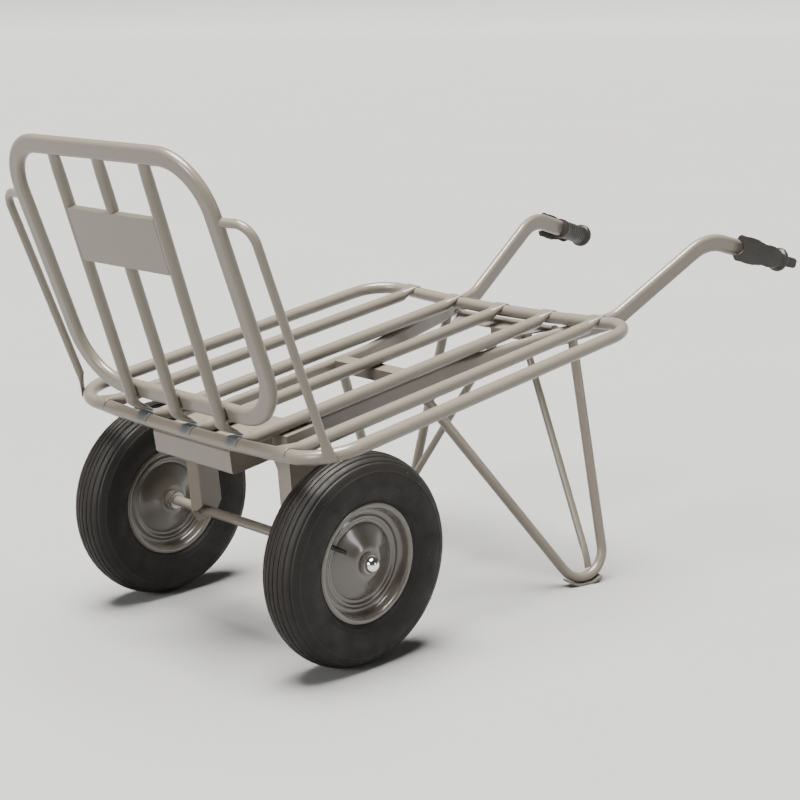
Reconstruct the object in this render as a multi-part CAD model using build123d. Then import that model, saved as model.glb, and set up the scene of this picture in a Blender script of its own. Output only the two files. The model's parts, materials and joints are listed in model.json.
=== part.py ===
from build123d import *
from math import asin, atan, cos, degrees, radians, sin, sqrt
import os

# Two-wheeled game cart, in millimetres. +X runs from the headboard to the handles, +Y to the
# right-hand side, +Z up. The bed and everything on it is drawn level, above an axle at
# (0, 0, axle_height), and then turned about the axle so that the wheels and feet both stand on
# Z = 0. The origin is the centre of the finished cart's footprint.

# ---- stance ----
bed_tilt = 8.57            # the handle end is the higher one, degrees
axle_height = 200.0
wheel_track = 579.5

# ---- bed ----
bed_head_x = -113.0        # centre line of the end rail below the headboard
bed_handle_x = 736.0
bed_half_width = 375.0
bed_corner = 80.0
bed_dish = 15.0            # the side rails stand this much above the middle of the end rails
bed_z = 429.0              # axis of the end rails at their middle
rail_radius = 13.0
bar_radius = 12.7
bar_pitch = 135.0
bar_count = 5
tube_wall = 1.8
bar_tongue_width = 33.0
bar_tongue_thickness = 2.6
bar_tongue_bite = 0.8       # cut away again where the tongue sits on the rail
bar_tongue_wrap = 75.0     # degrees round the rail
bar_crush_length = 36.0    # from round tube to flat tongue

# ---- headboard ----
loop_tilt = 11.9           # from the bed's normal, leaning away from the load
loop_foot_x = -104.6       # where the loop's plane meets the bed's axis height
loop_half_width = 283.0
loop_low = 68.4            # heights along the slope
loop_high = 564.0
loop_low_corner = 105.0
loop_high_corner = 101.0
loop_tube_tall = 36.0      # flat-oval tube
loop_tube_wide = 19.0
upright_radius = 11.0
upright_pitch = 134.0
upright_tilt = 9.3
upright_foot_x = -128.0
upright_top = 556.0
foot_start = 60.0          # below this the uprights bend and flatten
plate_low = 342.0          # name plate, heights along the slope
plate_high = 444.0
plate_front = 10.5         # the plate's face stands in front of the uprights' axes
plate_depth = 14.0         # of the folded long edges
plate_half_width = 128.5
sheet = 1.5
head_press = 48.0          # the uprights' upper ends are pressed flat over this length

# ---- side stays ----
stay_radius = 8.0
stay_top = (-190.0, 364.0, 874.0)
stay_foot = (-91.0, 361.5, 450.0)
stay_bend = 36.0
stay_crush_length = 34.0

# ---- handles ----
handle_tall = 38.0
handle_wide = 19.0
handle_points = [(57.0, 118.0, 398.0), (433.2, 118.0, 398.0), (864.8, 206.7, 398.0),
                 (1136.5, 253.9, 510.5), (1346.1, 290.3, 414.7)]
handle_bends = [150.0, 90.0, 111.7]
grip_length = 115.0
grip_radius = 21.5
grip_collar = 23.5
grip_flange = 27.0
grip_end_wall = 5.0
guard_thickness = 4.0
guard_offset = 19.5        # the guard's inner face from the grip's axis

# ---- cross members ----
box_front, box_back = -115.0, 56.9
box_half_width = 115.0
box_low, box_top = 368.0, 416.0
box_wall, box_edge = 2.5, 6.0
strap_front, strap_back = 345.0, 378.0
strap_drop = 25.0
end_plate_front, end_plate_back = 672.0, 762.0
end_plate_z = 400.0
plate_thickness = 3.0
end_lip_width = 120.0
end_lip_height = 44.0
end_lip_drop = 20.0        # the lip's middle lies this far below the plate's underside
bolt_x, bolt_y = 745.0, 142.0
bolt_head = 13.0           # across corners
bolt_head_height = 6.5
bolt_washer = 17.0

# ---- axle and brackets ----
axle_radius = 10.0
bracket_y = 157.0
bracket_plate = 4.0

# ---- legs ----
leg_radius = 10.5
leg_apex = (642.4, 329.4, -208.9)
leg_rear_top = (362.2, 106.9, 390.0)
leg_front_top = (752.0, 182.0, 390.0)
leg_bend = 57.0
foot_thickness = 5.0
foot_width = 26.0
foot_flat = 34.0
foot_wing = 26.0
foot_wing_angle = 24.0
brace_radius = 8.0
brace_top = (763.0, 33.0, 366.0)
brace_low = (632.0, 278.2, -34.7)
brace_toe = (627.5, 286.5, -64.0)
brace_crush_length = 16.0

# ---- wheels ----
tyre_radius = 200.0
tyre_half_width = 48.8
tread_grooves = 8
tread_pitch = 10.4
tread_crown = 58.0         # radius of the tread across its width
groove_width = 3.4
groove_depth = 2.8
tube_ring_radius = 148.0   # inner tube
tube_outer = 38.0
tube_skin = 2.5
rim_radius = 113.0
rim_half_width = 36.0
hub_radius = 21.5
hub_bore = 17.0
hub_inboard, hub_outboard = -44.0, 38.0
bearing_clearance = 0.05
valve_turn = 149.0         # from the handles' side, over the top
cap_base = 40.6
cap_radius = 15.6

weld_gap = 0.05            # between pieces that are welded face to face


def vector_sum(point, direction, length):
    return Vector(*point) + Vector(*direction) * length


def slope_frame(foot_x, tilt):
    """Plane of the headboard: x runs to the right-hand side, y up the slope, z to the load's side."""
    lean = radians(tilt)
    up_slope = Vector(-sin(lean), 0, cos(lean))
    return Plane(origin=(foot_x, 0, bed_z), x_dir=(0, 1, 0), z_dir=Vector(0, 1, 0).cross(up_slope))


def flat_oval(plane, tall, wide, wall):
    """Section of a flat-oval tube, its long side along the plane's x."""
    ring = SlotOverall(tall, wide) - SlotOverall(tall - 2 * wall, wide - 2 * wall)
    return plane * ring


def tube_section(plane, radius, wall):
    return plane * (Circle(radius) - Circle(radius - wall))


def start_plane(path):
    return Plane(origin=path @ 0, z_dir=path % 0)


def round_tube(points, radius, bends, wall):
    path = FilletPolyline(*points, radius=bends) if len(points) > 2 else Line(*points)
    return sweep(tube_section(start_plane(path), radius, wall), path=path)


def round_rod(points, radius, bends):
    path = FilletPolyline(*points, radius=bends) if len(points) > 2 else Line(*points)
    return sweep(start_plane(path) * Circle(radius), path=path)


# ---- bed ----

end_rail_turn = 2 * atan(bed_dish / (bed_half_width + bed_corner))
end_rail_radius = (bed_half_width - bed_corner * cos(end_rail_turn)) / sin(end_rail_turn)


def end_rail_height(y):
    return bed_z + end_rail_radius - sqrt(end_rail_radius ** 2 - y ** 2)


def half_rail_path():
    """Centre line of the left half of the bed rail, from one end rail's middle to the other's."""
    turn = end_rail_turn
    side_z = bed_z + bed_dish
    arc_end_y = end_rail_radius * sin(turn)
    arc_mid_y = end_rail_radius * sin(turn / 2)
    quarter = radians(45)

    def corner_mid(end_x, inward):
        run = Vector(0, -cos(turn), sin(turn)) * (bed_corner * sin(quarter))
        across = Vector(inward, 0, 0) * (bed_corner * (1 - cos(quarter)))
        return Vector(end_x, -arc_end_y, end_rail_height(arc_end_y)) + run + across

    edges = []
    for end_x, inward in ((bed_head_x, 1), (bed_handle_x, -1)):
        arc_end = Vector(end_x, -arc_end_y, end_rail_height(arc_end_y))
        bow = ThreePointArc((end_x, 0, bed_z), (end_x, -arc_mid_y, end_rail_height(arc_mid_y)), arc_end)
        side_start = Vector(end_x + inward * bed_corner, -bed_half_width, side_z)
        corner = ThreePointArc(arc_end, corner_mid(end_x, inward), side_start)
        edges.append((bow, corner, side_start))
    head, handle = edges
    side = Line(head[2], handle[2])
    return Wire([head[0].edge(), head[1].edge(), side.edge(), handle[1].edge(), handle[0].edge()])


def bed_rail(radius=rail_radius, wall=tube_wall):
    path = half_rail_path()
    plane = Plane(origin=(bed_head_x, 0, bed_z), z_dir=(0, -1, 0))
    section = plane * (Circle(radius) - Circle(radius - wall)) if wall else plane * Circle(radius)
    left = sweep(section, path=path)
    return left + left.mirror(Plane.XZ)


def bar_end(end_x, inward):
    """One end of a bed bar, in the bar's own frame: crushed, wrapped over the end rail and cut round it."""
    crest = rail_radius + weld_gap
    section = SlotOverall(bar_tongue_width, bar_tongue_thickness + bar_tongue_bite)
    middle = crest + (bar_tongue_thickness - bar_tongue_bite) / 2
    turn = radians(bar_tongue_wrap)
    round_plane = Plane(origin=(end_x + inward * bar_crush_length, 0, 0), x_dir=(0, 1, 0),
                        z_dir=(-inward, 0, 0))
    flat_plane = Plane(origin=(end_x, 0, middle), x_dir=(0, 1, 0), z_dir=(-inward, 0, 0))
    nearly_round = SlotOverall(2 * bar_radius - 0.8, 2 * bar_radius - 1.2)
    taper = loft([round_plane * nearly_round, flat_plane * section])
    wrap = ThreePointArc((end_x, 0, middle),
                         (end_x - inward * middle * sin(turn / 2), 0, middle * cos(turn / 2)),
                         (end_x - inward * middle * sin(turn), 0, middle * cos(turn)))
    tongue = sweep(flat_plane * section, path=wrap)
    rail = Plane.XZ * Pos(end_x, 0) * Circle(crest)
    return taper + tongue - extrude(rail, amount=bar_tongue_width, both=True)


def bed_bar(y):
    inner_head = bed_head_x + bar_crush_length
    inner_handle = bed_handle_x - bar_crush_length
    section = tube_section(Plane(origin=(inner_head, 0, 0), z_dir=(1, 0, 0)), bar_radius, tube_wall)
    tube = extrude(section, amount=inner_handle - inner_head)
    bar = bar_end(bed_head_x, 1) + tube + bar_end(bed_handle_x, -1)
    roll = degrees(asin(y / end_rail_radius))
    return Pos(0, y, end_rail_height(y)) * Rot(roll, 0, 0) * bar


# ---- headboard ----

def headboard_loop(grow=0.0, wall=tube_wall):
    frame = slope_frame(loop_foot_x, loop_tilt)
    w = loop_half_width
    low, high, r_low, r_high = loop_low, loop_high, loop_low_corner, loop_high_corner
    k = 1 - sin(radians(45))
    corners = [
        Line((0, low), (w - r_low, low)),
        ThreePointArc((w - r_low, low), (w - r_low * k, low + r_low * k), (w, low + r_low)),
        Line((w, low + r_low), (w, high - r_high)),
        ThreePointArc((w, high - r_high), (w - r_high * k, high - r_high * k), (w - r_high, high)),
        Line((w - r_high, high), (0, high)),
    ]
    path = Wire([(frame * piece).edge() for piece in corners])
    start = Plane(origin=path @ 0, x_dir=frame.y_dir, z_dir=path % 0)
    tall, wide = loop_tube_tall + 2 * grow, loop_tube_wide + 2 * grow
    section = flat_oval(start, tall, wide, wall) if wall else start * SlotOverall(tall, wide)
    right = sweep(section, path=path)
    return right + right.mirror(Plane.XZ)


def upright_point(height, y=0.0, front=0.0):
    """Point on an upright's axis, at a height up the slope; front is towards the outside."""
    lean = radians(upright_tilt)
    return Vector(upright_foot_x - height * sin(lean) - front * cos(lean), y,
                  bed_z + height * cos(lean) - front * sin(lean))


def upright_plane(height, y):
    lean = radians(upright_tilt)
    return Plane(origin=upright_point(height, y), x_dir=(0, 1, 0), z_dir=(-sin(lean), 0, cos(lean)))


def upright_foot(y):
    """Lower end of an upright: bent towards the load and pressed flat onto the end rail."""
    seat = end_rail_height(y) + rail_radius + bar_tongue_thickness + 2 * weld_gap
    bend_place, bend_lean, bend_size = (-4.5, 13), (-0.62, 0.78), (13.5, 5.6)
    toe_place, toe_lean, toe_size = (8, 3.5), (-0.8, 0.6), (17, 3.0)

    def section_at(place, lean):
        return Plane(origin=(bed_head_x + place[0], y, seat + place[1]), x_dir=(0, 1, 0),
                     z_dir=(lean[0], 0, lean[1]))

    foot = loft([upright_plane(foot_start, y) * Circle(upright_radius),
                 upright_plane(foot_start - 14, y) * Circle(upright_radius),
                 section_at(bend_place, bend_lean) * Ellipse(*bend_size),
                 section_at(toe_place, toe_lean) * Ellipse(*toe_size)])
    below_height = 60.0
    below = Pos(bed_head_x, y, seat - below_height / 2) * Box(120, 60, below_height)
    return foot - below


def upright(y, low, high):
    path = Line(upright_point(low, y), upright_point(high, y))
    return sweep(tube_section(start_plane(path), upright_radius, tube_wall), path=path)


def upright_head(y):
    """Upper end of an upright: pressed to a flat oval, under the loop's top rail."""
    sections = [upright_plane(upright_top - head_press, y) * Circle(upright_radius),
                upright_plane(upright_top - head_press / 2, y) * Ellipse(13.2, 9.2),
                upright_plane(upright_top, y) * Ellipse(16.6, 5.4)]
    return loft(sections)


def whole_upright(y):
    body = upright(y, foot_start, upright_top - head_press) + upright_head(y) + upright_foot(y)
    return body - headboard_loop(weld_gap, 0)


def middle_upright(upper):
    if upper:
        body = upright(0, plate_high + weld_gap, upright_top - head_press) + upright_head(0)
    else:
        body = upright(0, foot_start, plate_low - weld_gap) + upright_foot(0)
    return body - headboard_loop(weld_gap, 0)


def name_plate():
    """Blank plate between the outer uprights, its long edges folded back."""
    lean = radians(upright_tilt)
    up_slope = Vector(-sin(lean), 0, cos(lean))
    frame = Plane(origin=upright_point(0, 0, plate_front), x_dir=(0, -1, 0),
                  z_dir=Vector(0, -1, 0).cross(up_slope))
    height = plate_high - plate_low
    middle = Pos(0, (plate_low + plate_high) / 2, -plate_depth / 2)
    tray = middle * Box(2 * plate_half_width, height, plate_depth)
    core = middle * Pos(0, 0, -sheet) * Box(2 * plate_half_width + 2, height - 2 * sheet, plate_depth)
    plate = frame * (tray - core)
    for y in (-upright_pitch, upright_pitch):
        plate -= sweep(upright_plane(plate_low - 5, y) * Circle(upright_radius + weld_gap),
                       path=Line(upright_point(plate_low - 5, y), upright_point(plate_high + 5, y)))
    return plate


# ---- side stays ----

def side_stay():
    """Right-hand stay: out of the loop's side post, down to the outside of the bed's corner."""
    frame = slope_frame(loop_foot_x, loop_tilt)
    post_height = (stay_top[2] - bed_z) / cos(radians(loop_tilt))
    post = frame.from_local_coords(Vector(loop_half_width, post_height, 0))
    run = (Vector(*stay_top) - Vector(*stay_foot)).normalized()
    crush_start = vector_sum(stay_foot, run, stay_crush_length)
    rod = round_rod([post, stay_top, crush_start], stay_radius, [stay_bend])
    centre = Vector(bed_head_x + bed_corner, bed_half_width - bed_corner, 0)
    outward = (Vector(stay_foot[0], stay_foot[1], 0) - centre).normalized()
    along = outward.cross(Vector(0, 0, 1))
    end_half_width, end_half_thick = 14.5, 2.2
    seat = centre + outward * (bed_corner + rail_radius + weld_gap + end_half_thick)
    flat_z, end_z = bed_z + bed_dish + rail_radius + 2, bed_z + bed_dish - 7
    flat = Plane(origin=(seat.X, seat.Y, flat_z), x_dir=along, z_dir=(0, 0, 1))
    end = Plane(origin=(seat.X, seat.Y, end_z), x_dir=along, z_dir=(0, 0, 1))
    start = Plane(origin=crush_start, x_dir=along, z_dir=run)
    taper = loft([start * Circle(stay_radius), flat * Ellipse(10.5, 3.4),
                  end * Ellipse(end_half_width, end_half_thick)])
    return rod + taper - headboard_loop(weld_gap, 0) - bed_rail(rail_radius + weld_gap, 0)


# ---- handles and grips ----

def handle_path():
    return FilletPolyline(*handle_points, radius=handle_bends)


def handle_solid(grow=0.0, wall=0.0):
    path = handle_path()
    start = Plane(origin=path @ 0, x_dir=(0, 0, 1), z_dir=path % 0)
    tall, wide = handle_tall + 2 * grow, handle_wide + 2 * grow
    section = flat_oval(start, tall, wide, wall) if wall else start * SlotOverall(tall, wide)
    return sweep(section, path=path)


def grip_frame():
    """x along the grip to its end, y outboard, z up; the origin is at the collar."""
    tip = Vector(*handle_points[-1])
    along = (tip - Vector(*handle_points[-2])).normalized()
    outboard = Vector(0, 0, 1).cross(along).normalized()
    return Plane(origin=tip - along * (grip_length - grip_end_wall), x_dir=along, z_dir=along.cross(outboard))


def grip_body():
    """Round body along the grip's x: collar, waist and end flange."""
    collar_end, waist_start, waist_end, flange_start, flange_full = 12, 15, 96, 101, 104
    profile = [(0, 0), (0, grip_collar), (collar_end, grip_collar), (waist_start, grip_radius),
               (waist_end, grip_radius - 1), (flange_start, grip_flange - 2.5), (flange_full, grip_flange),
               (grip_length - 4, grip_flange), (grip_length, grip_flange - 4), (grip_length, 0)]
    return revolve(make_face(Polyline(*profile, close=True)), axis=Axis.X)


def grip_guard():
    """Plate outboard of the grip: forked round the handle tube, with a tongue past the end flange."""
    edge = [(-55, 20), (-50, 27), (-42, 29), (10, 29), (24, 26.5), (38, 23.5), (56, 24.5), (70, 22.5),
            (88, 16), (104, 12), (136, 11.5), (143, 8)]
    outline = edge + [(along, -height) for along, height in reversed(edge)]
    fork = Pos(-66, 0) * Ellipse(34, 19)
    face = make_face(Polyline(*outline, close=True)) - fork
    at_guard = Plane(origin=(0, guard_offset, 0), x_dir=(1, 0, 0), z_dir=(0, 1, 0))
    return extrude(at_guard * face, amount=guard_thickness)


def grip():
    """Right-hand grip, moulded in one piece with its outboard hand guard."""
    return grip_frame() * (grip_body() + grip_guard()) - handle_solid(weld_gap)


# ---- cross members ----

def box_beam():
    depth = box_back - box_front
    height = box_top - box_low
    outer = Box(depth, 2 * box_half_width, height)
    outer = fillet(outer.edges().filter_by(Axis.Y), radius=box_edge)
    hollow = Box(depth - 2 * box_wall, 2 * (box_half_width - box_wall), height - 2 * box_wall)
    return Pos((box_front + box_back) / 2, 0, (box_low + box_top) / 2) * (outer - hollow)


def mid_strap():
    """Flat strap under the bars, between the handles, with one edge turned down."""
    half = handle_points[0][1] - handle_wide / 2 - weld_gap
    top = bed_z - bar_radius - 1.0
    length = strap_back - strap_front
    thick = plate_thickness
    flat = Pos(strap_front + length / 2, 0, top - thick / 2) * Box(length, 2 * half, thick)
    lip = Pos(strap_front + thick / 2, 0, top - strap_drop / 2) * Box(thick, 2 * half, strap_drop)
    return flat + lip


def end_plate():
    """Plate between the handles below the end rail, with its handle end turned down for the braces."""
    front_half, back_half = 96.0, 150.0
    notch_depth, notch_half = 24.0, 40.0
    outline = [(end_plate_front, -front_half), (end_plate_back, -back_half), (end_plate_back, back_half),
               (end_plate_front, front_half), (end_plate_front + notch_depth, notch_half),
               (end_plate_front + notch_depth, -notch_half)]
    flat = Pos(0, 0, end_plate_z) * extrude(make_face(Polyline(*outline, close=True)), amount=plate_thickness)
    plate = flat + end_plate_lip()
    for side in (1, -1):
        blade = handle_solid(weld_gap)
        plate -= blade if side > 0 else blade.mirror(Plane.XZ)
    return plate


def end_plate_lip(grow=0.0):
    place = Pos(end_plate_back - plate_thickness / 2, 0, end_plate_z - end_lip_drop)
    return place * Box(plate_thickness + 2 * grow, end_lip_width + 2 * grow, end_lip_height + 2 * grow)


def end_plate_bolts():
    """Bolts through the end plate's outer corners."""
    bolt = extrude(RegularPolygon(bolt_head / 2, 6), amount=bolt_head_height)
    bolt += Cylinder(bolt_washer / 2, 1.5, align=(Align.CENTER, Align.CENTER, Align.MIN))
    seat = end_plate_z + plate_thickness + weld_gap
    return [Pos(bolt_x, side * bolt_y, seat) * bolt for side in (-1, 1)]


# ---- axle, brackets ----

def axle_bracket():
    """Right-hand bracket: an upright web for the axle, with its front edge and its top turned inward."""
    low, top = axle_height - 20, bed_z - bar_radius + 1.2
    top_front, top_back, knee_front = -15, 55, -27
    web_outline = [(top_front, top), (top_back, top), (46, axle_height + 6), (24, low), (-16, low),
                   (knee_front, axle_height + 4)]
    web_plane = Plane(origin=(0, bracket_y, 0), x_dir=(1, 0, 0), z_dir=(0, -1, 0))
    web_face = web_plane * make_face(Polyline(*web_outline, close=True))
    web = extrude(web_face, amount=-bracket_plate / 2, both=True)
    inner = box_half_width + weld_gap
    outer = bracket_y + bracket_plate / 2
    flange_inner = bracket_y - 34
    flange_outline = [(outer, top), (inner, top), (inner, box_low - 4), (flange_inner, box_low - 20),
                      (flange_inner, axle_height + 24), (bracket_y - 12, axle_height + 8),
                      (outer, axle_height + 8)]
    slope = Vector(top_front - knee_front, 0, top - axle_height - 4).normalized()
    flange_plane = Plane(origin=(top_front - slope.X / slope.Z * top, 0, 0), x_dir=(0, 1, 0),
                         z_dir=Vector(0, 1, 0).cross(slope))
    flange_face = flange_plane * make_face(Polyline(*flange_outline, close=True))
    flange = extrude(flange_face, amount=bracket_plate)
    ledge_place = Pos((top_front + top_back) / 2, (outer + inner) / 2, top - bracket_plate / 2)
    ledge = ledge_place * Box(top_back - top_front, outer - inner, bracket_plate)
    hole = Pos(0, bracket_y, axle_height) * Rot(90, 0, 0) * Cylinder(axle_radius + weld_gap, 40)
    return web + flange + ledge - handle_solid(weld_gap) - hole


def axle():
    half = wheel_track / 2 + cap_base + 2
    rod = Pos(0, 0, axle_height) * Rot(90, 0, 0) * Cylinder(axle_radius, 2 * half)
    return chamfer(rod.edges(), 1)


# ---- legs, feet, braces ----

def stand_up(shape):
    """Turns a piece from the level bed's frame into the cart's standing frame."""
    return Pos(0, 0, axle_height) * Rot(0, -bed_tilt, 0) * Pos(0, 0, -axle_height) * shape


def ground_up():
    """The vertical of the standing cart, seen in the level bed's frame."""
    return Vector(sin(radians(bed_tilt)), 0, cos(radians(bed_tilt)))


def leg_knots():
    """Leg corner points, with the bend set to stand on the foot plate."""
    apex, rear, front = (Vector(*p) for p in (leg_apex, leg_rear_top, leg_front_top))
    up = ground_up()
    to_rear, to_front = (rear - apex).normalized(), (front - apex).normalized()
    half_angle = radians(to_rear.get_angle(to_front) / 2)
    bisector = (to_rear + to_front).normalized()
    normal = to_rear.cross(to_front).normalized()
    centre = apex + bisector * (leg_bend / sin(half_angle))
    up_in_plane = (up - normal * up.dot(normal)).normalized()
    lowest = centre - up_in_plane * leg_bend
    height = (lowest - Vector(0, 0, axle_height)).dot(up) + axle_height - leg_radius
    lift = up * (foot_thickness - height)
    return [rear, apex + lift, front], lowest + lift, normal


def leg():
    knots, lowest, normal = leg_knots()
    tube = round_tube(knots, leg_radius, [leg_bend], tube_wall)
    return tube - handle_solid(weld_gap)


def foot():
    """Right-hand foot: a strip bent up at both ends, welded under the leg's bend. Flat on the ground."""
    knots, lowest, normal = leg_knots()
    touch = stand_up(Vertex(*lowest)).center()
    heading = normal.rotate(Axis.Y, -bed_tilt).cross(Vector(0, 0, 1)).normalized()
    rise, reach = sin(radians(foot_wing_angle)) * foot_wing, cos(radians(foot_wing_angle)) * foot_wing
    half = foot_flat / 2
    bottom = [(-half - reach, rise), (-half, 0), (half, 0), (half + reach, rise)]
    top = [(x, z + foot_thickness) for x, z in reversed(bottom)]
    strip = make_face(Polyline(*bottom, *top, close=True))
    side = Plane(origin=(touch.X, touch.Y, 0), x_dir=heading, z_dir=heading.cross(Vector(0, 0, 1)))
    plate = extrude(side * strip, amount=foot_width / 2, both=True)
    tube = stand_up(round_rod(knots, leg_radius + weld_gap, [leg_bend]))
    return plate - tube


def brace():
    """Right-hand brace, from the end plate's lip down to the inner side of the leg's bend."""
    top, low, toe = (Vector(*p) for p in (brace_top, brace_low, brace_toe))
    run = (top - low).normalized()
    crush_start = low + run * brace_crush_length
    rod = round_rod([top, crush_start], brace_radius, [])
    across = run.cross(Vector(0, 1, 0)).normalized()
    start = Plane(origin=crush_start, x_dir=across, z_dir=run)
    middle = Plane(origin=low, x_dir=across, z_dir=run)
    end_dir = (low - toe).normalized()
    end = Plane(origin=toe, x_dir=across, z_dir=end_dir)
    taper = loft([start * Circle(brace_radius), middle * Ellipse(9.5, 5.0), end * Ellipse(11.5, 2.6)])
    knots, lowest, normal = leg_knots()
    return rod + taper - round_rod(knots, leg_radius + weld_gap, [leg_bend]) - end_plate_lip(weld_gap)


# ---- wheels, drawn about the Y axis with +Y outboard ----

def turned(points):
    return revolve(make_face(Polyline(*points, close=True)), axis=Axis.Y)


def tyre():
    shoulder, side, bead = (183, 40), (150, tyre_half_width), (116, 36.8)
    inner_shoulder, inner_side, inner_bead = (176, 34), (146, 43), (107, 27)
    crown = ThreePointArc(shoulder, (tyre_radius, 0), (shoulder[0], -shoulder[1]))
    bore_crown = ThreePointArc(inner_shoulder, (191, 0), (inner_shoulder[0], -inner_shoulder[1]))
    outer_side = ThreePointArc(bead, side, shoulder)
    hollow_side = ThreePointArc(inner_bead, inner_side, inner_shoulder)
    edges = [crown, outer_side, hollow_side, bore_crown,
             outer_side.mirror(Plane.XZ), hollow_side.mirror(Plane.XZ)]
    foot = [bead, (rim_radius + 1, 33.4), (103.2, 31.4), (102.2, 18), inner_bead]
    for s in (1, -1):
        edges.append(Polyline(*[(r, y * s) for r, y in foot]))
    section = make_face(edges)
    for k in range(tread_grooves):
        y = (k - (tread_grooves - 1) / 2) * tread_pitch
        surface = sqrt(tread_crown ** 2 - y ** 2) - tread_crown + tyre_radius
        section -= Pos(surface, y) * Rectangle(2 * groove_depth, groove_width)
    return revolve(section, axis=Axis.Y)


def inner_tube():
    ring = Pos(tube_ring_radius, 0) * (Circle(tube_outer) - Circle(tube_outer - tube_skin))
    return revolve(ring, axis=Axis.Y)


def rim():
    """Two pressed halves welded at the middle: flange, bead seat, well, and a cone to the hub."""
    skin = 2.2
    half = [(rim_radius, rim_half_width), (rim_radius, rim_half_width - skin), (103.2, 33.0), (101.8, 17),
            (92, 12), (90, 0), (87.6, 0), (87.6, 11), (83, 14.5), (79, 12), (73, 11.5), (70, 13), (44, 23),
            (30, 30.5), (hub_radius + weld_gap, 31.5), (hub_radius + weld_gap, 34), (31, 33), (45, 25.6),
            (71, 15.5), (74, 14), (78, 14.5), (83, 17.6), (89.5, 15), (99.6, 19.5), (100.6, 34.5),
            (102, rim_half_width)]
    outboard = turned(half)
    return outboard + outboard.mirror(Plane.XZ)


def hub():
    length = hub_outboard - hub_inboard
    tube = Circle(hub_radius) - Circle(hub_bore)
    return Rot(90, 0, 0) * Pos(0, 0, -hub_outboard) * extrude(tube, amount=length)


def hub_bearings():
    """A flanged plain bearing pressed into each end of the hub."""
    bore = axle_radius + bearing_clearance
    outer = hub_bore - 0.02
    flange, flange_thick, length = hub_bore + 2.4, 1.4, 15.0
    pieces = []
    for face, inward in ((hub_outboard, -1), (hub_inboard, 1)):
        profile = [(bore, -flange_thick), (flange, -flange_thick), (flange, -weld_gap), (outer, -weld_gap),
                   (outer, length), (bore, length)]
        pieces.append(turned([(r, face + inward * depth) for r, depth in profile]))
    return pieces


def valve_stem():
    """Rubber stem through the well, leaning outboard and in towards the hub."""
    profile = [(0, 0), (5.6, 0), (5.0, 6), (4.2, 9), (4.2, 26), (3.6, 28), (3.6, 35), (0, 35)]
    stem = revolve(make_face(Polyline(*profile, close=True)), axis=Axis.Y)
    well_radius, well_side, lean = 92.0, 16.0, 56
    return Rot(0, -valve_turn, 0) * Pos(well_radius, well_side, 0) * Rot(0, 0, lean) * stem - rim()


def wheel_washers():
    """A washer each side of the hub, on the axle."""
    bore, edge = axle_radius + weld_gap, 17.0
    inboard = (hub_inboard - 4.2, hub_inboard - 1.8)
    outboard = (hub_outboard + 1.7, cap_base - 0.3)
    return [turned([(bore, y0), (edge, y0), (edge, y1), (bore, y1)]) for y0, y1 in (inboard, outboard)]


def axle_cap():
    """Domed cap pushed onto the axle's end."""
    skirt, bore_depth = 0.9, 8.0
    dome = Pos(0, cap_base + skirt, 0) * Sphere(cap_radius)
    below = Pos(0, cap_base - cap_radius, 0) * Box(3 * cap_radius, 2 * cap_radius, 3 * cap_radius)
    bore = Rot(90, 0, 0) * Cylinder(axle_radius + weld_gap, 2 * (cap_base + bore_depth))
    return dome - below - bore


# ---- assembly ----

def both_sides(nodes, name, piece):
    nodes[name + "_right"] = piece
    nodes[name + "_left"] = mirrored(piece)


def mirrored(piece):
    if isinstance(piece, list):
        return [p.mirror(Plane.XZ) for p in piece]
    return piece.mirror(Plane.XZ)


def bed_frame_nodes():
    nodes = {"bed_rail": bed_rail()}
    for index in range(bar_count):
        nodes["bed_bar_%d" % (index + 1)] = bed_bar((index - bar_count // 2) * bar_pitch)
    nodes["headboard_loop"] = headboard_loop()
    both_sides(nodes, "headboard_upright", whole_upright(upright_pitch))
    nodes["headboard_upright_middle_upper"] = middle_upright(True)
    nodes["headboard_upright_middle_lower"] = middle_upright(False)
    nodes["name_plate"] = name_plate()
    both_sides(nodes, "side_stay", side_stay())
    both_sides(nodes, "handle", handle_solid(0, tube_wall))
    both_sides(nodes, "grip", grip())
    nodes["box_beam"] = box_beam()
    nodes["mid_strap"] = mid_strap()
    nodes["end_plate"] = end_plate()
    nodes["end_plate_bolts"] = end_plate_bolts()
    both_sides(nodes, "axle_bracket", axle_bracket())
    both_sides(nodes, "leg", leg())
    both_sides(nodes, "brace", brace())
    return nodes


def wheel_nodes():
    return {"tyre": tyre(), "inner_tube": inner_tube(), "rim": rim(), "hub": hub(),
            "hub_bearings": hub_bearings(), "valve_stem": valve_stem(), "wheel_washers": wheel_washers(),
            "axle_cap": axle_cap()}


def placed(shape, location):
    if isinstance(shape, list):
        return Compound(children=[location * s for s in shape])
    return location * shape


nodes = {name: placed(shape, Pos(0, 0, axle_height) * Rot(0, -bed_tilt, 0) * Pos(0, 0, -axle_height))
         for name, shape in bed_frame_nodes().items()}
both_sides(nodes, "foot", foot())
nodes["axle"] = axle()
for name, shape in wheel_nodes().items():
    nodes[name + "_right"] = placed(shape, Pos(0, wheel_track / 2, axle_height))
    nodes[name + "_left"] = placed(mirrored(shape), Pos(0, -wheel_track / 2, axle_height))

lowest_x = min(shape.bounding_box().min.X for shape in nodes.values())
highest_x = max(shape.bounding_box().max.X for shape in nodes.values())
middle_x = (lowest_x + highest_x) / 2

os.makedirs("parts", exist_ok=True)
for name, shape in nodes.items():
    export_step(Pos(-middle_x, 0, 0) * shape, "parts/%s.step" % name)
print("wheel axis at x = %.3f mm, y = +/-%.3f mm, z = %.1f mm" % (-middle_x, wheel_track / 2, axle_height))
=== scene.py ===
import json
from math import atan2, cos, hypot, pi, radians, sin, sqrt
from random import Random

import bmesh
import bpy
from mathutils import Matrix, Vector


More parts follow.
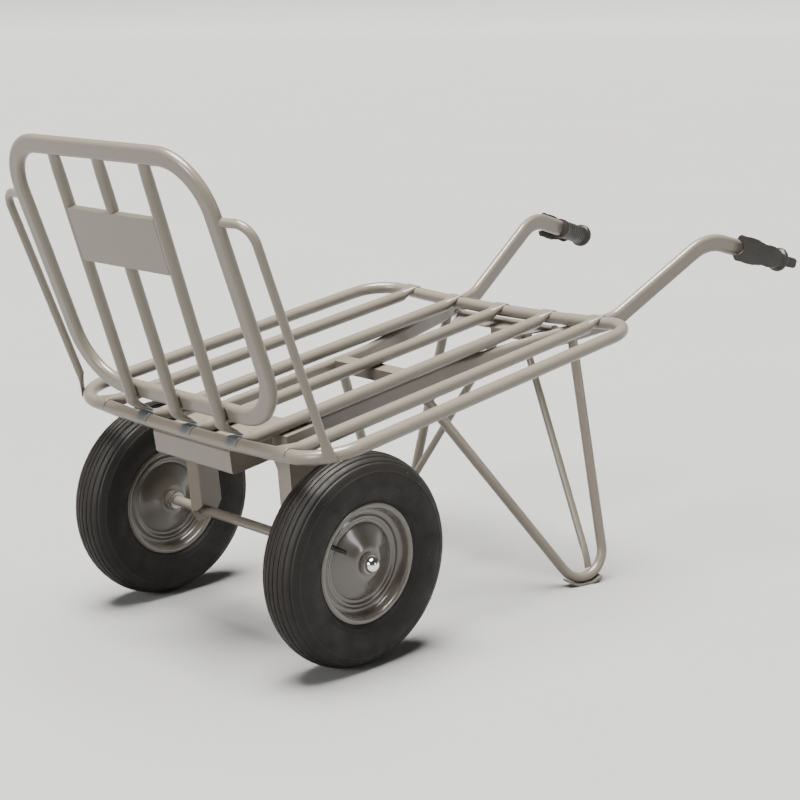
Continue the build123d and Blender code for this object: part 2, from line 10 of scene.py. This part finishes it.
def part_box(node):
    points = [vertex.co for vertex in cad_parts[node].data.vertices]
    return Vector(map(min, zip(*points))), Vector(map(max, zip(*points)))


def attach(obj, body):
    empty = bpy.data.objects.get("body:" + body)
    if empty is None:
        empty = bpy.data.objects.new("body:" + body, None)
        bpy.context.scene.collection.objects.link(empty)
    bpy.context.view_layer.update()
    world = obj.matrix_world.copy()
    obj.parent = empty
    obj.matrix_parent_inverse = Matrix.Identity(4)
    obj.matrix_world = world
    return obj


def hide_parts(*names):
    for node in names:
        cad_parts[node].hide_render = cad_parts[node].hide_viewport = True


# Looks of the game cart, in metres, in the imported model's frame: +X towards the handles, +Z up,
# Y = 0 the cart's middle plane. "left" is the -Y side.

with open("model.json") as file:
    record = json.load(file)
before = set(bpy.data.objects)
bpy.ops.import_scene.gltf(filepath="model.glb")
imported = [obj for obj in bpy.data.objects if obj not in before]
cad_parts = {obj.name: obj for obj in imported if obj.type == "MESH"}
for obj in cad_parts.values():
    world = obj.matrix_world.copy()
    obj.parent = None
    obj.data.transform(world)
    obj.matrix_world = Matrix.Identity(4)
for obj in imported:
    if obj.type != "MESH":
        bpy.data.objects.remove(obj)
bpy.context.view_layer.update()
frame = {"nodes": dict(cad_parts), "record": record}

SIDES = {"left": -1, "right": 1}
MM = 0.001

# ---- places on the cart ----
# The bed is level in its own frame, drawn above the axle, and the whole is turned about the axle.
BED_TILT = radians(8.57)
HEAD_RAIL = Vector((-113, 0, 429)) * MM
RAIL_RADIUS = 13 * MM
UPRIGHT_PITCH = 134 * MM
GRIP_TIP = Vector((1346.1, 290.3, 414.7)) * MM
GRIP_BEFORE = Vector((1136.5, 253.9, 510.5)) * MM
GRIP_LENGTH = 110 * MM     # from the collar to the handle tube's end


def wheel_centre(side):
    low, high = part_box("tyre_" + side)
    return (low + high) / 2


AXLE = Vector((wheel_centre("left").x, 0, wheel_centre("left").z))


def from_bed(point):
    """A point of the level bed's frame, in the standing cart's frame."""
    turned = Matrix.Rotation(-BED_TILT, 3, "Y") @ (Vector(point) - Vector((0, 0, AXLE.z)))
    return turned + AXLE


# ---- colours, linear ----
FRAME_GREY = (0.134, 0.117, 0.094)
RIM_GREY = (0.075, 0.066, 0.054)
PRIMER_GREY = (0.105, 0.112, 0.116)
PATCH_RADIUS = 19 * MM
TYRE_BLACK = (0.0050, 0.0042, 0.0034)
TYRE_DUST = (0.045, 0.036, 0.026)
TYRE_RUB = (0.072, 0.053, 0.036)
GRIP_BLACK = (0.014, 0.0125, 0.011)
VALVE_BLACK = (0.016, 0.016, 0.016)
NYLON_GREY = (0.09, 0.083, 0.073)
CHROME = (0.80, 0.79, 0.77)
ZINC = (0.36, 0.35, 0.32)
FLOOR_PALE = (0.245, 0.245, 0.242)
FLOOR_SHADE = (0.238, 0.238, 0.235)
LAMP_WARM = (1.0, 0.985, 0.96)


# ---- material nodes ----

class Nodes:
    """A small wrapper that adds nodes to one material and links them by socket name."""

    def __init__(self, name):
        self.material = bpy.data.materials.new(name)
        self.material.use_nodes = True
        self.tree = self.material.node_tree
        self.tree.nodes.clear()
        self.shader = self.add("ShaderNodeBsdfPrincipled")
        output = self.add("ShaderNodeOutputMaterial")
        self.link(self.shader, "BSDF", output, "Surface")
        self.place = self.add("ShaderNodeTexCoord")

    def add(self, kind, **settings):
        node = self.tree.nodes.new(kind)
        for key, value in settings.items():
            setattr(node, key, value)
        return node

    def link(self, source, output, target, into):
        self.tree.links.new(source.outputs[output], target.inputs[into])

    def noise(self, scale, detail=4.0, roughness=0.55, stretch=None):
        texture = self.add("ShaderNodeTexNoise")
        texture.inputs["Scale"].default_value = scale
        texture.inputs["Detail"].default_value = detail
        texture.inputs["Roughness"].default_value = roughness
        source = self.place
        output = "Object"
        if stretch:
            mapping = self.add("ShaderNodeMapping")
            mapping.inputs["Scale"].default_value = stretch
            self.link(self.place, "Object", mapping, "Vector")
            source, output = mapping, "Vector"
        self.link(source, output, texture, "Vector")
        return texture

    def ramp(self, source, output, low, high, start=0.0, end=1.0):
        """Maps low..high to start..end, clamped."""
        node = self.add("ShaderNodeMapRange")
        node.inputs["From Min"].default_value = low
        node.inputs["From Max"].default_value = high
        node.inputs["To Min"].default_value = start
        node.inputs["To Max"].default_value = end
        self.link(source, output, node, "Value")
        return node

    def math(self, operation, a, b):
        node = self.add("ShaderNodeMath", operation=operation)
        for index, value in enumerate((a, b)):
            if isinstance(value, (int, float)):
                node.inputs[index].default_value = value
            else:
                self.tree.links.new(value.outputs[0], node.inputs[index])
        return node

    def mix(self, factor, first, second):
        """Colour mix; first and second are colours or nodes with a colour output."""
        node = self.add("ShaderNodeMix", data_type="RGBA")
        self.tree.links.new(factor.outputs[0], node.inputs["Factor"])
        for index, value in ((6, first), (7, second)):
            if isinstance(value, tuple):
                node.inputs[index].default_value = (*value, 1)
            else:
                self.tree.links.new(value.outputs[2], node.inputs[index])
        return node

    def colour(self, node):
        self.tree.links.new(node.outputs[2], self.shader.inputs["Base Color"])

    def roughness(self, node):
        self.link(node, "Result", self.shader, "Roughness")

    def bump(self, height, output, distance, strength=1.0, under=None):
        node = self.add("ShaderNodeBump")
        node.inputs["Strength"].default_value = strength
        node.inputs["Distance"].default_value = distance
        self.link(height, output, node, "Height")
        if under:
            self.link(under, "Normal", node, "Normal")
        self.link(node, "Normal", self.shader, "Normal")
        return node

    def edges(self, radius):
        """1 on worn outside and inside edges, 0 on plain surface."""
        bevel = self.add("ShaderNodeBevel", samples=4)
        bevel.inputs["Radius"].default_value = radius
        geometry = self.add("ShaderNodeNewGeometry")
        dot = self.add("ShaderNodeVectorMath", operation="DOT_PRODUCT")
        self.link(bevel, "Normal", dot, 0)
        self.link(geometry, "Normal", dot, 1)
        return self.ramp(dot, "Value", 0.985, 0.90)

    def near(self, point, radius, noise):
        """1 close to a point of the cart, 0 further than radius away, with a ragged border."""
        distance = self.add("ShaderNodeVectorMath", operation="DISTANCE")
        distance.inputs[1].default_value = point
        self.link(self.place, "Object", distance, 0)
        ragged = self.math("MULTIPLY_ADD", noise, radius * 0.9)
        self.link(distance, "Value", ragged, 2)
        return self.ramp(ragged, "Value", radius * 1.5, radius * 1.25)


def scaled(colour, amount):
    return tuple(min(1.0, c * amount) for c in colour)


def painted(name, colour, roughness, shine, coat, ripple, patches=()):
    """Sprayed paint: faint orange peel, a little dust in broad areas, uneven gloss, rubbed edges.
    At the patches, which are points of the cart, the paint is off and primer shows."""
    n = Nodes(name)
    fine = n.noise(60.0, detail=6)
    dust = n.ramp(n.noise(3.5, detail=3), "Fac", 0.40, 0.70)
    body = n.mix(dust, colour, scaled(colour, 0.95))
    speck = n.ramp(fine, "Fac", 0.68, 0.80, 0.0, 0.08)
    body = n.mix(speck, body, scaled(colour, 0.75))
    body = n.mix(n.math("MULTIPLY", n.edges(0.8 * MM), 0.15), body, scaled(colour, 1.15))
    for point in patches:
        body = n.mix(n.near(point, PATCH_RADIUS, fine), body, PRIMER_GREY)
    n.colour(body)
    gloss = n.noise(18.0, detail=4)
    n.roughness(n.ramp(gloss, "Fac", 0.3, 0.7, roughness - 0.02, roughness + 0.03))
    peel = n.bump(n.noise(420.0, detail=2), "Fac", 0.05 * MM, 0.35)
    n.bump(n.noise(70.0, detail=2), "Fac", 0.10 * MM, ripple, under=peel)
    n.shader.inputs["Specular IOR Level"].default_value = shine
    n.shader.inputs["Coat Weight"].default_value = coat
    n.shader.inputs["Coat Roughness"].default_value = 0.12
    return n.material


def tyre_rubber(name, colour):
    """Black rubber: brown bloom and dust on the tread, scuffs and fine grain."""
    n = Nodes(name)
    broad = n.noise(9.0, detail=4)
    body = n.mix(n.ramp(broad, "Fac", 0.40, 0.66), colour, scaled(colour, 1.35))
    scuff = n.noise(70.0, detail=7, roughness=0.7)
    body = n.mix(n.ramp(scuff, "Fac", 0.62, 0.80, 0.0, 0.35), body, TYRE_DUST)
    body = n.mix(n.math("MULTIPLY", n.edges(1.0 * MM), 0.7), body, TYRE_RUB)
    n.colour(body)
    n.roughness(n.ramp(n.noise(30.0, detail=5), "Fac", 0.3, 0.7, 0.46, 0.70))
    grain = n.bump(n.noise(900.0, detail=3), "Fac", 0.15 * MM, 0.5)
    n.bump(n.noise(120.0, detail=5), "Fac", 0.30 * MM, 0.4, under=grain)
    n.shader.inputs["Specular IOR Level"].default_value = 0.28
    return n.material


def moulded(name, colour, roughness, grain_scale):
    """Moulded plastic or rubber with a spark-eroded grain."""
    n = Nodes(name)
    body = n.mix(n.ramp(n.noise(14.0), "Fac", 0.4, 0.7), colour, scaled(colour, 1.35))
    body = n.mix(n.math("MULTIPLY", n.edges(0.9 * MM), 0.4), body, scaled(colour, 2.2))
    n.colour(body)
    n.roughness(n.ramp(n.noise(40.0), "Fac", 0.3, 0.7, roughness - 0.08, roughness + 0.1))
    voronoi = n.add("ShaderNodeTexVoronoi")
    voronoi.inputs["Scale"].default_value = grain_scale
    n.link(n.place, "Object", voronoi, "Vector")
    n.bump(voronoi, "Distance", 0.15 * MM, 0.45)
    n.shader.inputs["Specular IOR Level"].default_value = 0.35
    return n.material


def bare_metal(name, colour, roughness, smear):
    """Plated metal: smears and hairline scratches over the plating."""
    n = Nodes(name)
    body = n.mix(n.ramp(n.noise(35.0, detail=6), "Fac", 0.45, 0.75), colour, scaled(colour, 0.86))
    n.colour(body)
    n.roughness(n.ramp(n.noise(60.0, detail=6), "Fac", 0.35, 0.75, roughness, roughness + smear))
    scratch = n.noise(260.0, detail=2, stretch=(1, 12, 1))
    n.bump(scratch, "Fac", 0.05 * MM, 0.25)
    n.shader.inputs["Metallic"].default_value = 1.0
    return n.material


# ---- mesh helpers ----

def chaikin(points, rounds):
    """Cuts the corners of an open line, to round it."""
    for _ in range(rounds):
        cut = []
        for a, b in zip(points, points[1:]):
            cut += [tuple(Vector(a).lerp(Vector(b), share)) for share in (0.25, 0.75)]
        points = [points[0]] + cut + [points[-1]]
    return points


def arc(start, through, end, count):
    """Points of the circular arc through three points of a plane, both ends included."""
    (ax, ay), (bx, by), (cx, cy) = start, through, end
    d = 2 * (ax * (by - cy) + bx * (cy - ay) + cx * (ay - by))
    a2 = ax * ax + ay * ay
    b2 = bx * bx + by * by
    c2 = cx * cx + cy * cy
    ux = (a2 * (by - cy) + b2 * (cy - ay) + c2 * (ay - by)) / d
    uy = (a2 * (cx - bx) + b2 * (ax - cx) + c2 * (bx - ax)) / d
    radius = hypot(ax - ux, ay - uy)
    angles = [atan2(y - uy, x - ux) for x, y in (start, through, end)]
    sweep = (angles[2] - angles[0]) % (2 * pi)
    if (angles[1] - angles[0]) % (2 * pi) > sweep:
        sweep -= 2 * pi
    return [(ux + radius * cos(angles[0] + sweep * k / (count - 1)),
             uy + radius * sin(angles[0] + sweep * k / (count - 1))) for k in range(count)]


def finished(name, mesh_builder, material, body, nodes=(), sharp=38):
    """Makes an object from a bmesh, shaded smooth with its sharp edges kept."""
    bmesh.ops.remove_doubles(mesh_builder, verts=mesh_builder.verts, dist=1e-6)
    bmesh.ops.recalc_face_normals(mesh_builder, faces=mesh_builder.faces)
    mesh = bpy.data.meshes.new(name)
    mesh_builder.to_mesh(mesh)
    mesh_builder.free()
    mesh.shade_smooth()
    mesh.set_sharp_from_angle(angle=radians(sharp))
    mesh.materials.append(material)
    piece = bpy.data.objects.new(name, mesh)
    bpy.context.scene.collection.objects.link(piece)
    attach(piece, body)
    if nodes:
        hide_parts(*nodes)
    return piece


def add_lathe(mesh_builder, profile, centre, outward, segments):
    """Revolves a closed profile of (radius, distance outboard) about the wheel's axis."""
    rings = []
    for k in range(segments):
        turn = 2 * pi * k / segments
        rings.append([mesh_builder.verts.new((centre.x + r * cos(turn), centre.y + outward * y,
                                              centre.z + r * sin(turn))) for r, y in profile])
    for a, b in zip(rings, rings[1:] + rings[:1]):
        for k in range(len(profile)):
            j = (k + 1) % len(profile)
            mesh_builder.faces.new((a[k], a[j], b[j], b[k]))


def add_strip(mesh_builder, sections):
    """Skins a row of closed sections with the same number of points, and caps both ends."""
    rows = [[mesh_builder.verts.new(p) for p in section] for section in sections]
    for a, b in zip(rows, rows[1:]):
        for k in range(len(a)):
            j = (k + 1) % len(a)
            mesh_builder.faces.new((a[k], a[j], b[j], b[k]))
    mesh_builder.faces.new(rows[0])
    mesh_builder.faces.new(list(reversed(rows[-1])))


# ---- wheels ----

CROWN_RADIUS = 58 * MM     # of the tread, across its width
SHOULDER = 40 * MM         # half the tread's width
GROOVES = 8
RIB_PITCH = 10.4 * MM
GROOVE_HALF = 1.5 * MM
GROOVE_DEPTH = 2.6 * MM
# Across one groove: place in half widths, depth as a share of the full depth.
GROOVE_SHAPE = ((-1.5, 0.0), (-1.0, 0.12), (-0.62, 0.85), (0, 1.0), (0.62, 0.85), (1.0, 0.12), (1.5, 0.0))

WIDEST_AT = 0.75           # share of the tyre's radius at which its sidewall stands out furthest
BEAD_ABOVE_RIM = 3 * MM
BEAD_HALF = 36.8 * MM
BEAD_TUCK = ((0.4 * MM, 33.6 * MM), (-8 * MM, 31.6 * MM))   # above the rim, from the middle
WALL_STEPS = 44
WALL_RIDGES = ((0.86, 1.0), (0.64, 0.8), (0.60, 0.8))       # share of the radius, height in mm
RIDGE_HALF = 1.9 * MM
RIDGE_LEAN = 0.2

NIBS = 44
NIB_RADII = (0.70, 0.80, 0.885)
NIB_LEAN = 0.25
NIB_SUNK = 2.2 * MM
NIB_TAPER = ((0, 0.9), (1.6, 0.65), (2.6, 0.35))            # reach and radius in mm
NIB_SIDES = 6

TYRE_SEGMENTS = 224
RIM_SEGMENTS = 192
HUB_FIT = 0.05             # between the hub and the rim's bore, mm


def crown(y, tyre_radius):
    return tyre_radius - CROWN_RADIUS + sqrt(CROWN_RADIUS ** 2 - y ** 2)


def tread_line(tyre_radius):
    """The tread from shoulder to shoulder, with grooves whose edges are rounded over."""
    line = [(crown(-SHOULDER, tyre_radius), -SHOULDER)]
    for k in range(GROOVES):
        y = (k - (GROOVES - 1) / 2) * RIB_PITCH
        for step, depth in GROOVE_SHAPE:
            at = y + step * GROOVE_HALF
            line.append((crown(at, tyre_radius) - depth * GROOVE_DEPTH, at))
        hump = y + RIB_PITCH / 2
        if k < GROOVES - 1:
            line.append((crown(hump, tyre_radius), hump))
    return line + [(crown(SHOULDER, tyre_radius), SHOULDER)]


def sidewall(tyre_radius, half_width, rim_radius):
    """From the shoulder down to the bead, with low moulded ridges."""
    shoulder = (crown(SHOULDER, tyre_radius), SHOULDER)
    middle = (WIDEST_AT * tyre_radius, half_width)
    bead = (rim_radius + BEAD_ABOVE_RIM, BEAD_HALF)
    wall = []
    for r, y in arc(shoulder, middle, bead, WALL_STEPS)[1:]:
        ridge = 0.0
        for at, height in WALL_RIDGES:
            ridge += height * max(0.0, 1 - abs(r - at * tyre_radius) / RIDGE_HALF)
        wall.append((r - RIDGE_LEAN * ridge * MM, min(half_width, y + ridge * MM)))
    return wall


def tyre(side, material):
    low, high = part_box("tyre_" + side)
    centre = (low + high) / 2
    radius = (high.z - low.z) / 2
    half_width = (high.y - low.y) / 2
    rim_low, rim_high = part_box("rim_" + side)
    rim_radius = (rim_high.z - rim_low.z) / 2
    wall = sidewall(radius, half_width, rim_radius)
    upper = wall + [(rim_radius + above, y) for above, y in BEAD_TUCK]
    lower = [(r, -y) for r, y in reversed(upper)]
    builder = bmesh.new()
    add_lathe(builder, tread_line(radius) + upper + lower, centre, SIDES[side], TYRE_SEGMENTS)
    add_nibs(builder, centre, radius, half_width, side)
    return finished("tyre_skin_" + side, builder, material, "wheel_" + side, ["tyre_" + side])


def add_nibs(builder, centre, radius, half_width, side):
    """Short rubber whiskers that the mould's vents leave on shoulders and sidewalls."""
    chance = Random(7 if side == "left" else 11)
    for k in range(NIBS):
        turn = 4 * pi * (k + chance.uniform(-0.3, 0.3)) / NIBS
        face = 1 if k % 2 else -1
        r = radius * chance.choice(NIB_RADII)
        bulge = sqrt(max(0.0, 1 - ((r / radius - WIDEST_AT) / 0.30) ** 2))
        y = face * half_width * (0.90 + 0.095 * bulge) - face * NIB_SUNK
        out = Vector((NIB_LEAN * cos(turn), face, NIB_LEAN * sin(turn))).normalized()
        base = Vector((centre.x + r * cos(turn), centre.y + y, centre.z + r * sin(turn)))
        across = out.cross(Vector((0, 0, 1))).normalized()
        upward = out.cross(across)
        sections = []
        for reach, width in NIB_TAPER:
            middle = base + out * min(reach * MM, half_width - abs(y) - 0.1 * MM)
            angles = [2 * pi * j / NIB_SIDES for j in range(NIB_SIDES)]
            sections.append([middle + (across * cos(a) + upward * sin(a)) * width * MM for a in angles])
        add_strip(builder, sections)


def rim_half(rim_radius, half_width, hub_radius):
    """Outboard half of the rim in mm: the cone from the hub outwards, the flange, the tyre's side."""
    collar = [(hub_radius, 34.0), (hub_radius + 4, 33.9), (hub_radius + 9, 33.0), (hub_radius + 24, 25.6)]
    pressed = [(70, 16.2), (72.5, 14.2), (77, 14.2), (80, 16.8), (83.5, 17.8), (87.5, 15.6), (91.5, 15.2)]
    well_side = [(97, 17.5), (99.4, 22), (100.6, 30), (102, 34.2), (rim_radius - 8, half_width)]
    rolled = [(rim_radius - 3.5, half_width), (rim_radius, half_width - 1.0), (rim_radius, half_width - 3.4)]
    under = [(103.2, 32.6), (101.8, 17), (94, 10), (91, 0)]
    return chaikin(collar + pressed + well_side, 2) + chaikin(rolled, 1) + under


def rim(side, material):
    low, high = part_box("rim_" + side)
    hub_low, hub_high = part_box("hub_" + side)
    rim_radius = (high.z - low.z) / 2 / MM
    half_width = (high.y - low.y) / 2 / MM
    hub_radius = (hub_high.z - hub_low.z) / 2 / MM + HUB_FIT
    half = rim_half(rim_radius, half_width, hub_radius)
    back = [(r, -y) for r, y in reversed(half[:-1])]
    profile = [(r * MM, y * MM) for r, y in half + back]
    builder = bmesh.new()
    add_lathe(builder, profile, wheel_centre(side), SIDES[side], RIM_SEGMENTS)
    return finished("rim_shell_" + side, builder, material, "wheel_" + side,
                    ["rim_" + side], sharp=50)


# ---- grips ----

def grip_axes():
    """Origin at the right-hand grip's collar, and its along, outboard and up directions."""
    tip, before = from_bed(GRIP_TIP), from_bed(GRIP_BEFORE)
    along = (tip - before).normalized()
    bed_up = (from_bed((0, 0, 1)) - from_bed((0, 0, 0))).normalized()
    outboard = bed_up.cross(along).normalized()
    return tip - along * GRIP_LENGTH, along, outboard, along.cross(outboard)


# The guard's numbers are in mm, from the grip's collar: along the grip, outboard, up.
GUARD_OUTLINE = [(-55, 18), (-53, 25), (-46, 29), (-30, 28.5), (-12, 29.5), (6, 29), (22, 26), (38, 23.5),
                 (52, 24.5), (64, 24), (76, 20), (90, 15), (104, 12), (120, 11.6), (136, 11.4), (143, 8.5)]
GUARD_START = GUARD_OUTLINE[0][0]
GUARD_END = GUARD_OUTLINE[-1][0]
GUARD_INNER = 19.5
GUARD_THICK = 4.0
GUARD_SOFTNESS = 1.3       # of its long edges
NOTCH_CENTRE = -66         # the notch that forks the guard round the handle tube
NOTCH_REACH = 34
NOTCH_HALF = 19
RIDGES_FROM = -22
RIDGES_TO = 92
RIDGE_FADE = 8
RIDGE_PITCH = 9.5
RIDGE_HEIGHT = 0.10
GRIP_STEPS = 56            # round the grip


def guard_half_height(s):
    for (a, ha), (b, hb) in zip(GUARD_OUTLINE, GUARD_OUTLINE[1:]):
        if a <= s <= b:
            t = (s - a) / (b - a)
            t = t * t * (3 - 2 * t)
            return ha + (hb - ha) * t
    return GUARD_OUTLINE[-1][1]


def ridge_height(s):
    """Vertical finger ridges between the collar and the tongue."""
    if not RIDGES_FROM < s < RIDGES_TO:
        return 0.0
    fade = min(1.0, (s - RIDGES_FROM) / RIDGE_FADE, (RIDGES_TO - s) / RIDGE_FADE)
    return RIDGE_HEIGHT * fade * (0.5 + 0.5 * cos(2 * pi * s / RIDGE_PITCH))


def guard_sections(low_s, high_s, low_edge, count):
    """Rounded cross-sections of the guard, between a lower edge and the outline."""
    rows = []
    for k in range(count):
        s = low_s + (high_s - low_s) * k / (count - 1)
        top = guard_half_height(s)
        bottom = low_edge(s)
        inner = GUARD_INNER
        outer = GUARD_INNER + GUARD_THICK + ridge_height(s) - RIDGE_HEIGHT
        soft = min(GUARD_SOFTNESS, (top - bottom) * 0.3)
        nick = soft * 0.3
        rows.append([(s, inner, bottom + nick), (s, inner + soft, bottom), (s, outer - soft, bottom),
                     (s, outer - nick, bottom + nick), (s, outer, bottom + soft),
                     (s, outer, (top + bottom) / 2), (s, outer, top - soft), (s, outer - nick, top - nick),
                     (s, outer - soft, top), (s, inner + soft, top), (s, inner, top - nick)])
    return rows


def notch_edge(s):
    reach = (s - NOTCH_CENTRE) / NOTCH_REACH
    return NOTCH_HALF * sqrt(max(0.0, 1 - reach * reach))


def grip_body_profile():
    """Radius along the grip in mm: collar, waist with soft rings, end flange."""
    collar = [(0, 19.6), (0, 22.6), (1.2, 23.5), (11, 23.5), (13.4, 22.8), (15, 21.4)]
    waist = []
    for k in range(8):
        ring = 22 + 9.4 * k
        waist += [(ring - 3.0, 21.0), (ring - 1.4, 21.5), (ring + 1.4, 21.5), (ring + 3.0, 21.0)]
    flange = [(96, 21.2), (100, 23.0), (102, 25.8), (104, 26.9), (110, 27), (113, 25.6)]
    end = [(115, 21.5), (115, 0.01)]
    return collar + waist + flange + end


def grip(side, material):
    origin, along, outboard, up = grip_axes()
    flip = Matrix.Diagonal((1, SIDES[side], 1))

    def at(s, o, u):
        return flip @ (origin + (along * s + outboard * o + up * u) * MM)

    builder = bmesh.new()
    turns = [2 * pi * k / GRIP_STEPS for k in range(GRIP_STEPS)]
    rings = [[at(s, r * cos(turn), r * sin(turn)) for turn in turns] for s, r in grip_body_profile()]
    add_strip(builder, rings)
    notch_end = NOTCH_CENTRE + NOTCH_REACH
    main = guard_sections(notch_end, GUARD_END, lambda s: -guard_half_height(s), 150)
    horn = guard_sections(GUARD_START, notch_end, notch_edge, 24)
    add_strip(builder, [[at(*p) for p in row] for row in main])
    add_strip(builder, [[at(*p) for p in row] for row in horn])
    add_strip(builder, [[at(s, o, -u) for s, o, u in row] for row in horn])
    return finished("grip_skin_" + side, builder, material, "frame", ["grip_" + side])


# ---- materials on the CAD pieces ----



def primer_points():
    """Where the uprights stand on the head rail, on its top."""
    return [from_bed(HEAD_RAIL + Vector((0, k * UPRIGHT_PITCH, RAIL_RADIUS))) for k in (-1, 0, 1)]


def make_materials():
    return {
        "frame_paint": painted("frame_paint", FRAME_GREY, 0.30, 0.32, 0.34, 0.12, primer_points()),
        "rim_paint": painted("rim_paint", RIM_GREY, 0.24, 0.5, 0.7, 0.02),
        "tyre": tyre_rubber("tyre_rubber", TYRE_BLACK),
        "rubber": moulded("valve_rubber", VALVE_BLACK, 0.5, 900.0),
        "grip_plastic": moulded("grip_plastic", GRIP_BLACK, 0.42, 1100.0),
        "bearing_plastic": moulded("bearing_nylon", NYLON_GREY, 0.45, 1400.0),
        "chrome": bare_metal("chrome_cap", CHROME, 0.12, 0.08),
        "zinc": bare_metal("zinc_plate", ZINC, 0.30, 0.2),
    }


def dress_frame(materials):
    for row in frame["record"]["subparts"]:
        node = frame["nodes"][row["node"]]
        material = materials[row["material_slot"]]
        if not node.data.materials:
            node.data.materials.append(material)
        for index in range(len(node.data.materials)):
            node.data.materials[index] = material


# ---- studio ----

CAMERA_AT = Vector((-2.53502, -2.52718, 1.18864))
CAMERA_RIGHT = Vector((0.721268, -0.692654, -0.001495))
CAMERA_UP = Vector((0.15483, 0.159122, 0.975043))
CAMERA_LENS = 78.97
CAMERA_SHIFT = (0.0046, -0.0023)

FLOOR_RADIUS = 60.0
FLOOR_RISE = 6.0
FLOOR_STEPS = 96
RISE_STEPS = 8


def floor():
    """A pale disc that turns up into a low wall far away, so that no horizon shows."""
    builder = bmesh.new()
    line = [(0.01, 0.0), (3.0, 0.0), (FLOOR_RADIUS, 0.0)]
    for k in range(1, RISE_STEPS + 1):
        turned = k * pi / 2 / RISE_STEPS
        line.append((FLOOR_RADIUS + FLOOR_RISE * sin(turned), FLOOR_RISE * (1 - cos(turned))))
    line.append((FLOOR_RADIUS + FLOOR_RISE, 3 * FLOOR_RISE))
    turns = [2 * pi * k / FLOOR_STEPS for k in range(FLOOR_STEPS)]
    rings = [[builder.verts.new((r * cos(turn), r * sin(turn), z)) for r, z in line] for turn in turns]
    for a, b in zip(rings, rings[1:] + rings[:1]):
        for k in range(len(line) - 1):
            builder.faces.new((a[k], b[k], b[k + 1], a[k + 1]))
    builder.faces.new([ring[0] for ring in rings])
    bmesh.ops.recalc_face_normals(builder, faces=builder.faces)
    mesh = bpy.data.meshes.new("studio_floor")
    builder.to_mesh(mesh)
    builder.free()
    mesh.shade_smooth()
    n = Nodes("studio_floor")
    n.colour(n.mix(n.ramp(n.noise(0.8), "Fac", 0.3, 0.7), FLOOR_PALE, FLOOR_SHADE))
    n.shader.inputs["Roughness"].default_value = 0.8
    mesh.materials.append(n.material)
    plane = bpy.data.objects.new("studio_floor", mesh)
    bpy.context.scene.collection.objects.link(plane)


def sky(name, towards, width, strength, colour):
    """A far, soft light from one side; width is how much of the sky it fills, in degrees."""
    lamp = bpy.data.lights.new(name, "SUN")
    lamp.angle = radians(width)
    lamp.energy = strength
    lamp.color = colour
    holder = bpy.data.objects.new(name, lamp)
    holder.rotation_euler = Vector(towards).to_track_quat("-Z", "Y").to_euler()
    bpy.context.scene.collection.objects.link(holder)


def panel(name, at, towards, size, power):
    """A softbox on a stand."""
    lamp = bpy.data.lights.new(name, "AREA")
    lamp.shape = "RECTANGLE"
    lamp.size, lamp.size_y = size
    lamp.energy = power
    holder = bpy.data.objects.new(name, lamp)
    holder.location = at
    holder.rotation_euler = (Vector(towards) - Vector(at)).to_track_quat("-Z", "Y").to_euler()
    bpy.context.scene.collection.objects.link(holder)


def studio():
    floor()
    world = bpy.data.worlds.new("studio")
    world.use_nodes = True
    background = world.node_tree.nodes["Background"]
    background.inputs["Color"].default_value = (*LAMP_WARM, 1)
    background.inputs["Strength"].default_value = 0.07
    bpy.context.scene.world = world
    sky("overhead", (0.10, -0.04, -1.0), width=40, strength=18.5, colour=LAMP_WARM)
    sky("front_fill", (1.0, 0.10, -0.40), width=24, strength=3.0, colour=(1, 1, 1))
    panel("side_panel", at=(1.0, -4.3, 1.5), towards=(-0.2, 0, 0.4), size=(0.55, 1.3), power=21)


def camera():
    data = bpy.data.cameras.new("photo_view")
    data.sensor_width = 36
    data.lens = CAMERA_LENS
    data.shift_x, data.shift_y = CAMERA_SHIFT
    data.clip_end = 200
    back = CAMERA_RIGHT.cross(CAMERA_UP).normalized()
    up = back.cross(CAMERA_RIGHT).normalized()
    turn = Matrix((CAMERA_RIGHT.normalized(), up, back)).transposed()
    holder = bpy.data.objects.new("photo_view", data)
    holder.matrix_world = Matrix.Translation(CAMERA_AT) @ turn.to_4x4()
    bpy.context.scene.collection.objects.link(holder)
    bpy.context.scene.camera = holder


materials = make_materials()
dress_frame(materials)
for side in SIDES:
    tyre(side, materials["tyre"])
    rim(side, materials["rim_paint"])
    grip(side, materials["grip_plastic"])
studio()
camera()
